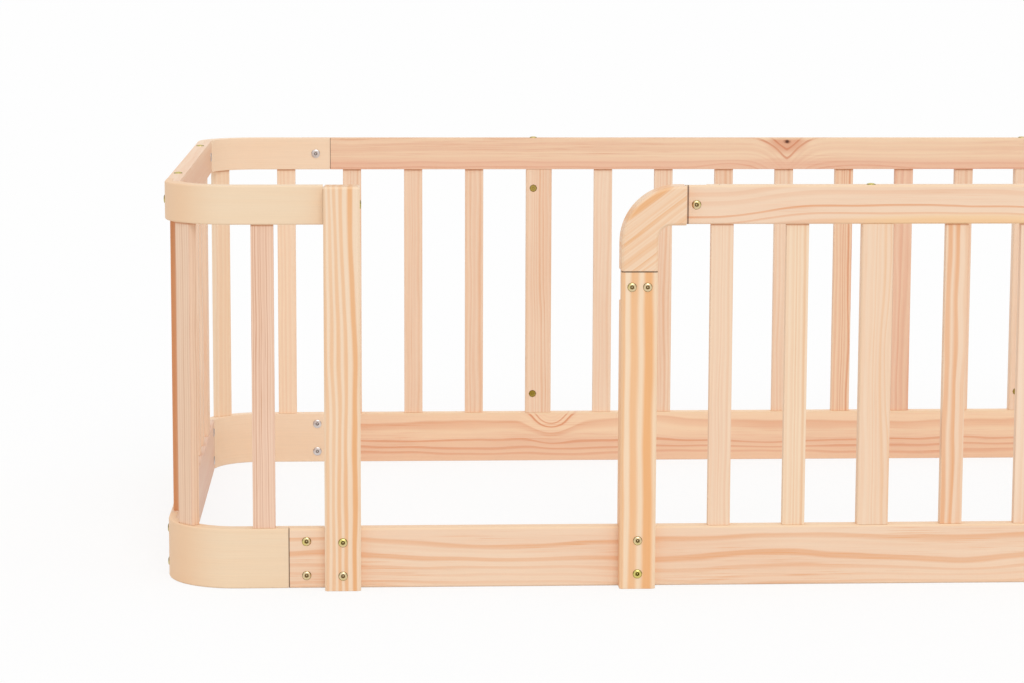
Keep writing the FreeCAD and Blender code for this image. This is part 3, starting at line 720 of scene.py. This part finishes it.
def end_lines(name):
    """Thin darker lines where a rail meets a bend or the block, painted shade where a slat goes
    under a rail, and a painted highlight along a rail's top.
    """
    low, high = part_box(name)
    half = (high - low) / 2 / MM
    if name.startswith(NARROW_SLATS):
        # painted shade on a slat just under the rail
        return (cross_line(half.z - TENON_LENGTH, PAINTED_RAIL_SHADE_LINE),)
    if name == "entry_post_right":
        return (cross_line(half.z, BLOCK_LINE),)
    if "_rail_" not in name:
        return ()
    side = name.split("_rail_")[1]
    reach = half.x if side in ("front", "back") else half.y
    lap, inner = (LONG_LAP, 1) if side in ("front", "back") else (END_LAP, -1)
    if side in ("back", "right"):
        inner = -inner
    lines = []
    if name in WOOD:
        # painted highlight along the rail's top
        lines.append(((0, 0, half.z), (LONG, FAR, LIT_EDGE), EDGE, LIT_SHARE))
    if name == "top_rail_front":
        lines.append(cross_line(BLOCK_HIDES - reach, BLOCK_LINE, -HALF_BOARD))
    for end in (-1, 1):
        lines.append(cross_line(end * reach, JOINT_LINE, -HALF_BOARD * inner))
        lines.append(cross_line(end * (reach - lap), JOINT_LINE, HALF_BOARD * inner))
    return tuple(lines)


# early wood of the bends; the back bends' paler tone is painted light that makes up for shade on
# their inner faces
BEND_EARLY = {"front": srgb(244, 218, 186), "back": srgb(250, 223, 194)}
BEND_LATE = srgb(240, 198, 154)
SLAT_EARLY = srgb(250, 224, 198)
SLAT_TONES = 0.3             # how far a slat may go from that to BLUSH
# extra tints: (place, reach, tint, share)
# painted shade on the left end of the front left bends, where they turn away from the key light
FRONT_LEFT_BEND_SHADE = ((-70, 0, 0), (130, FAR, FAR), srgb(244, 202, 162), 0.75)
LEFT_RAILS = {
    "top_rail_left": ((0, HALF_BOARD, -8), (LONG, 9, 28), srgb(230, 178, 144), 0.55),
    "bottom_rail_left": ((0, HALF_BOARD, 0), (LONG, 8, FAR), srgb(226, 194, 182), 0.5),
}
# painted shade on the side of the end slat beside the front left bend: (tint, share)
SLAT_SIDE_SHADE = (srgb(218, 146, 94), 0.9)
SLAT_SIDE_SHADE_IN = 16            # from the slat's outer face, millimetres
SLAT_SIDE_SHADE_REACH = (FAR, 14, 24)
DRAW_SEED = 11


def dress_wood():
    draw = random.Random(DRAW_SEED)

    def vary(low, high):
        return low + (high - low) * draw.random()

    looks = {}
    for ring in ("bottom", "top"):
        for side in SIDES:
            looks[f"{ring}_rail_{side}"] = dict(
                kind="x" if side in ("front", "back") else "y", seed=vary(0, 90),
                pith=(vary(60, 160), vary(-90, 90)), pitch=vary(6, 9), warp=vary(8, 14),
                ripple=7.0, contrast=vary(0.45, 0.6), streaks=0.4, blush=0.5)
        for corner in CORNERS:
            looks[f"{ring}_bend_{corner}"] = dict(
                kind="bend", seed=vary(0, 90), pith=(vary(-120, -90), vary(-60, 60)),
                pitch=vary(9, 14), warp=12.0, ripple=4.0, contrast=0.14, streaks=0.18, blush=0.0,
                early=BEND_EARLY[corner.split("_")[0]], late=BEND_LATE)
        # painted shade on the left end of the front left bend
        looks[f"{ring}_bend_front_left"]["patches"] = (FRONT_LEFT_BEND_SHADE,)
    for name in sorted(nodes):
        if not name.startswith(SLATS):
            continue
        on_end = "end_slats" in name or name.startswith(("wide_slat_left", "wide_slat_right"))
        tone = vary(0, 1)
        looks[name] = dict(
            kind="z_end" if on_end else "z", seed=vary(0, 90),
            pith=(vary(-200, -60), vary(20, 90)), pitch=vary(3.6, 6.5), warp=vary(6, 14),
            ripple=5.0, contrast=vary(0.3, 0.6), streaks=0.25, blush=vary(0.1, 0.5),
            early=mixed(SLAT_EARLY, BLUSH, SLAT_TONES * tone))
    looks.update(WOOD)
    for name, patch in LEFT_RAILS.items():
        looks[name]["patches"] = (patch,)
    # painted shade on the side of the slat on the end, beside the front left bend
    low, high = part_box("corner_slats_front_left")
    edge = (high - centre_of("corner_slats_front_left")) / MM
    looks["corner_slats_front_left"]["patches"] = (
        ((0, -edge.x, edge.y - SLAT_SIDE_SHADE_IN), SLAT_SIDE_SHADE_REACH, *SLAT_SIDE_SHADE),)
    for name, look in looks.items():
        look["patches"] = look.get("patches", ()) + end_lines(name)
        if "_bend_" in name:
            sweep_bend(name, pine(name, **look))
        else:
            dress(name, pine(name, **look))


# ------------------------------------------------------------------ light and floor
WHITE = (1, 1, 1, 1)
AMBIENT = 0.85
KEY_ENERGY = 0.62
KEY_ANGLE = math.radians(25)
KEY_FROM = (0.15, -0.9, 0.75)
FLOOR_GREY = (0.8, 0.8, 0.8, 1)          # in the light of the scene
FLOOR_SEEN = (0.98, 0.98, 0.98, 1)       # as the camera sees it
FLOOR_GLOW = 0.8                         # share of plain white in what the camera sees
FLOOR_HALF = 40.0                        # metres
FLOOR_DROP = 0.1                         # millimetres under the lowest point


def show_to_camera(tree):
    """1 for rays that show the background: camera, glossy and transmission rays."""
    path = tree.add("ShaderNodeLightPath").outputs
    seen = tree.math("MAXIMUM", path["Is Camera Ray"], path["Is Glossy Ray"])
    return tree.math("MAXIMUM", seen, path["Is Transmission Ray"])


def seen_apart(tree, lit, shown):
    """One shader for the light of the scene and one for what the camera sees."""
    mix = tree.add("ShaderNodeMixShader", {0: show_to_camera(tree), 1: lit.outputs[0],
                                           2: shown.outputs[0]})
    return mix.outputs[0]


def make_light():
    world = bpy.data.worlds.new("world")
    bpy.context.scene.world = world
    tree = fresh_tree(world)
    ambient = tree.add("ShaderNodeBackground", {"Color": WHITE, "Strength": AMBIENT})
    shown = tree.add("ShaderNodeBackground", {"Color": WHITE, "Strength": 1.0})
    tree.output("ShaderNodeOutputWorld", seen_apart(tree, ambient, shown))
    lamp = bpy.data.lights.new("key", "SUN")
    lamp.energy = KEY_ENERGY
    lamp.angle = KEY_ANGLE
    key = bpy.data.objects.new("key", lamp)
    bpy.context.scene.collection.objects.link(key)
    key.rotation_euler = Vector(KEY_FROM).to_track_quat("Z", "Y").to_euler()


def make_floor():
    material = bpy.data.materials.new("floor")
    tree = fresh_tree(material)
    matt = tree.add("ShaderNodeBsdfDiffuse", {"Color": FLOOR_GREY})
    seen_matt = tree.add("ShaderNodeBsdfDiffuse", {"Color": FLOOR_SEEN})
    glow = tree.add("ShaderNodeEmission", {"Color": WHITE, "Strength": 1.0})
    seen = tree.add("ShaderNodeMixShader", {0: FLOOR_GLOW, 1: seen_matt.outputs[0],
                                            2: glow.outputs[0]})
    tree.output("ShaderNodeOutputMaterial", seen_apart(tree, matt, seen))
    mesh = bpy.data.meshes.new("floor")
    corners = [(x * FLOOR_HALF, y * FLOOR_HALF, 0)
               for x, y in ((-1, -1), (1, -1), (1, 1), (-1, 1))]
    mesh.from_pydata(corners, [], [(0, 1, 2, 3)])
    mesh.materials.append(material)
    floor = bpy.data.objects.new("floor", mesh)
    floor.location.z = cad_low.z - FLOOR_DROP * MM
    bpy.context.scene.collection.objects.link(floor)


# ------------------------------------------------------------------ fasteners
ROUND = 30                   # points round a fastener
HEAD_RADIUS = 5.3
HEAD_HEIGHT = 2.8
BITE = 1.2                   # how far a head is drawn into the soft wood
SOCKET_RADIUS = 2.1          # to the flats
SOCKET_LIP = 0.3
SOCKET_DRILL = (0.45, 0.2)   # width as a share of the socket's, and depth below it
SOCKET_POINT = 0.5           # height of the point in the socket's floor
BOLT_SOCKET = 1.7            # depth
NUT_SOCKET = 1.0
NUT_HEIGHT = 1.4
BARREL_RADIUS = 5.0
BARREL_CHAMFER = 0.6
SMOOTH_ANGLE = math.radians(40)
# outlines as (radius, height) in millimetres
SHANK_TIP = ((0, 0.0), (2.2, 0.0), (3.0, 0.8))       # heights from the end of the shank
SHANK_NECK = (3.0, -0.1)
HEAD = ((5.1, 0.0), (HEAD_RADIUS, 0.15), (HEAD_RADIUS, 1.4), (5.15, 1.65), (4.8, 1.95),
        (4.35, 2.25), (3.85, 2.5), (3.3, 2.7), (3.0, HEAD_HEIGHT))
HEAD_DARK_REFLECTION = 3                 # number of the head's strip with a painted dark reflection
NUT = ((0, 0.0), (5.7, 0.0), (6.0, 0.25), (5.9, 0.7), (5.3, 1.15), (4.2, 1.38),
       (3.2, NUT_HEIGHT))
# plated steels: tone, second tone, tone of the painted dark reflection on the sides, roughness
METALS = {
    "zinc_yellow": (srgb(214, 200, 118), srgb(222, 200, 160), srgb(112, 88, 36), 0.26),
    # the next two are dark tones: a painted dark reflection on bolt heads, and painted shade in
    # sockets
    "zinc_shaded": (srgb(96, 80, 24), srgb(120, 96, 60), srgb(90, 70, 30), 0.4),
    "zinc_socket_shade": (srgb(140, 128, 122), srgb(160, 148, 142), srgb(100, 90, 86), 0.4),
    "zinc_silver": (srgb(216, 208, 204), srgb(198, 192, 192), srgb(132, 122, 122), 0.32),
    "barrel_brass": (srgb(150, 128, 44), srgb(178, 156, 84), srgb(96, 78, 34), 0.34),
}
TONE_DRIFT = ((40, 40, 40), 2, (0.4, 0.6))
SCRATCHES = ((0.35, 1.6, 0.35), 3)
DARK_REFLECTION_SIDE = (0.3, 0.6)      # how far a face turns to the side, for the painted dark reflection
DARK_REFLECTION_UP = (-0.1, 0.3)       # and up
DARK_REFLECTION_SHARE = 0.8
SCRATCH_ROUGH = (-0.06, 0.16)    # added to the roughness everywhere, and by the scratches
SCRATCH_BUMP = 0.2
SCRATCH_HEIGHT = 0.05


def islands(name):
    """Corner points of each separate solid in a node that holds many."""
    mesh = nodes[name].data
    keys = {}
    leader = []
    for vertex in mesh.vertices:
        key = tuple(round(value / MM, 2) for value in vertex.co)
        keys.setdefault(key, len(keys))
        leader.append(keys[key])
    parent = list(range(len(keys)))

    def top(item):
        while parent[item] != item:
            parent[item] = parent[parent[item]]
            item = parent[item]
        return item

    for polygon in mesh.polygons:
        first = leader[polygon.vertices[0]]
        for index in polygon.vertices[1:]:
            parent[top(leader[index])] = top(first)
    groups = {}
    for key, index in keys.items():
        groups.setdefault(top(index), []).append(Vector(key) * MM)
    return [groups[item] for item in sorted(groups)]


def ends_of(points):
    """Lowest and highest corner of some points."""
    low = Vector(min(point[axis] for point in points) for axis in range(3))
    high = Vector(max(point[axis] for point in points) for axis in range(3))
    return low, high


def inward(middle, axis):
    """Unit vector along an axis that points to the middle of the bed."""
    way = Vector((0, 0, 0))
    way[axis] = -1.0 if middle[axis] > 0 else 1.0
    return way


def distance_off(point, middle, axis):
    """Distance of a point from the line that runs along an axis through the middle."""
    away = point - middle
    away[axis] = 0.0
    return away.length


def hexagon(angle, flats):
    """Radius of a hexagon at an angle, from its size to the flats."""
    turned = (angle + math.pi / 6) % (math.pi / 3) - math.pi / 6
    return flats / math.cos(turned)


def lathe(maker, place, way, profile, dark=()):
    """Closed surface from rings of (radius or function of angle, height), in millimetres.

    The strips of faces whose numbers are in dark take the second material, painted shade in
    sockets and a painted dark reflection on bolt heads.
    """
    turn = Vector(way).to_track_quat("Z", "Y").to_matrix()
    rings = []
    for radius, height in profile:
        if radius == 0:
            rings.append([maker.verts.new(place + turn @ Vector((0, 0, height * MM)))])
            continue
        ring = []
        for number in range(ROUND):
            angle = 2 * math.pi * number / ROUND
            reach = radius(angle) if callable(radius) else radius
            point = Vector((reach * math.cos(angle), reach * math.sin(angle), height)) * MM
            ring.append(maker.verts.new(place + turn @ point))
        rings.append(ring)
    for strip, (lower, upper) in enumerate(zip(rings, rings[1:])):
        for number in range(ROUND):
            after = (number + 1) % ROUND
            if len(lower) == 1:
                face = maker.faces.new((lower[0], upper[after], upper[number]))
            elif len(upper) == 1:
                face = maker.faces.new((lower[number], lower[after], upper[0]))
            else:
                face = maker.faces.new((lower[number], lower[after], upper[after], upper[number]))
            face.material_index = 1 if strip in dark else 0


def socket_profile(top, depth):
    """Six-sided socket from its lip down to a raised point in its floor."""
    drill, drilled = SOCKET_DRILL

    def lip(angle):
        return hexagon(angle, SOCKET_RADIUS) + SOCKET_LIP

    def wall(angle):
        return hexagon(angle, SOCKET_RADIUS)

    def floor(angle):
        return drill * hexagon(angle, SOCKET_RADIUS)

    bottom = top - depth
    return [(lip, top), (wall, top - SOCKET_LIP), (wall, bottom),
            (floor, bottom - drilled), (0, bottom + SOCKET_POINT)]


def bolt_profile(length):
    """Shank and low domed head with a socket; also the numbers of its strips of painted dark
    reflection and painted shade.
    """
    shank = [(radius, rise - length) for radius, rise in SHANK_TIP] + [SHANK_NECK]
    profile = shank + list(HEAD) + socket_profile(HEAD_HEIGHT, BOLT_SOCKET)
    first_wall = len(shank) + len(HEAD) + 1
    return profile, (len(shank) + HEAD_DARK_REFLECTION, first_wall, first_wall + 1)


def nut_profile():
    """Round head of a sleeve nut with its socket; also the numbers of its socket strips of painted
    shade.
    """
    profile = list(NUT) + socket_profile(NUT_HEIGHT, NUT_SOCKET)
    return profile, (len(NUT) + 1, len(NUT) + 2)


def barrel_profile(half):
    """Barrel nut of a half length, with a screw hole sunk in one end."""
    edge = BARREL_RADIUS - BARREL_CHAMFER
    side = half - BARREL_CHAMFER
    return [(0, -half), (edge, -half), (BARREL_RADIUS, -side), (BARREL_RADIUS, side),
            (edge, half), (1.6, half), (1.3, side), (0, half - 0.9)]


def metal(name, colour, second, dark_reflection_tone, roughness):
    """Plated steel: its tone drifts, faces turned to the side and up get a painted dark
    reflection, and fine scratches blur it.
    """
    material = bpy.data.materials.new(name)
    tree = fresh_tree(material)
    place = tree.vector("MULTIPLY", tree.add("ShaderNodeTexCoord").outputs["Object"],
                        (1 / MM, 1 / MM, 1 / MM))
    drift = tree.spots(place, *TONE_DRIFT)
    scratch = tree.noise(place, *SCRATCHES)
    everywhere, scratched = SCRATCH_ROUGH
    rough = tree.weigh(roughness + everywhere, (scratch, scratched))
    bump = tree.add("ShaderNodeBump", {"Height": scratch, "Strength": SCRATCH_BUMP,
                                       "Distance": SCRATCH_HEIGHT * MM})
    normal = tree.add("ShaderNodeNewGeometry").outputs["True Normal"]
    nx, _, nz = tree.split(normal)[0:3]
    # painted dark reflection on faces turned to the side and up
    dark_reflection = tree.math("MULTIPLY", tree.ramp(tree.math("ABSOLUTE", nx), *DARK_REFLECTION_SIDE),
                      tree.ramp(nz, *DARK_REFLECTION_UP))
    plated = tree.mix(tree.math("MULTIPLY", dark_reflection, DARK_REFLECTION_SHARE),
                      tree.mix(drift, colour, second), dark_reflection_tone)
    surface = tree.add("ShaderNodeBsdfPrincipled",
                       {"Base Color": plated, "Metallic": 1.0,
                        "Roughness": rough, "Normal": bump.outputs[0]})
    tree.output("ShaderNodeOutputMaterial", surface.outputs[0])
    return material


def finish_piece(maker, name, node, slot, *materials):
    """Turn a mesh under construction into a piece that stands for a node."""
    bmesh.ops.recalc_face_normals(maker, faces=maker.faces[:])
    mesh = bpy.data.meshes.new(name)
    maker.to_mesh(mesh)
    maker.free()
    for material in materials:
        mesh.materials.append(material)
    for polygon in mesh.polygons:
        polygon.use_smooth = True
    mesh.set_sharp_from_angle(angle=SMOOTH_ANGLE)
    piece = bpy.data.objects.new(name, mesh)
    bpy.context.scene.collection.objects.link(piece)
    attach(piece, "root")
    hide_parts(node)
    return piece


def seat_bolt(points):
    """Seat of a bolt's head, the way it faces, and the bolt's length under the head."""
    low, high = ends_of(points)
    size = high - low
    axis = max(range(3), key=lambda item: size[item])
    middle = (low + high) / 2
    head = [point for point in points
            if distance_off(point, middle, axis) > (HEAD_RADIUS - 1) * MM]
    head_low, head_high = ends_of(head)
    way = Vector((0.0, 0.0, 0.0))
    way[axis] = 1.0 if (head_low + head_high)[axis] / 2 > middle[axis] else -1.0
    seat = middle.copy()
    seat[axis] = head_low[axis] if way[axis] > 0 else head_high[axis]
    seat -= way * (BITE * MM)
    return seat, way, size[axis] / MM - HEAD_HEIGHT - BITE


def dress_fasteners():
    metals = {name: metal(name, *look) for name, look in METALS.items()}
    for node in ("lap_bolts", "post_bolts", "long_bolts"):
        maker = bmesh.new()
        for points in islands(node):
            seat, way, length = seat_bolt(points)
            lathe(maker, seat, way, *bolt_profile(length))
        finish_piece(maker, f"{node}_turned", node, "zinc_yellow",
                     metals["zinc_yellow"], metals["zinc_shaded"])
    maker = bmesh.new()
    for points in islands("sleeve_nuts"):
        low, high = ends_of(points)
        size = high - low
        axis = min(range(3), key=lambda item: size[item])
        seat = (low + high) / 2
        way = inward(seat, axis)
        seat[axis] = low[axis] if way[axis] > 0 else high[axis]
        lathe(maker, seat, way, *nut_profile())
    finish_piece(maker, "sleeve_nuts_turned", "sleeve_nuts", "zinc_silver",
                 metals["zinc_silver"], metals["zinc_socket_shade"])
    maker = bmesh.new()
    for points in islands("barrel_nuts"):
        low, high = ends_of(points)
        size = high - low
        axis = max(range(3), key=lambda item: size[item])
        seat = (low + high) / 2
        lathe(maker, seat, inward(seat, axis), barrel_profile(size[axis] / 2 / MM))
    finish_piece(maker, "barrel_nuts_turned", "barrel_nuts", "barrel_brass",
                 metals["barrel_brass"])


# ------------------------------------------------------------------ scene
make_camera()
make_light()
make_floor()
dress_wood()
dress_fasteners()
bpy.context.scene.view_settings.view_transform = "Standard"
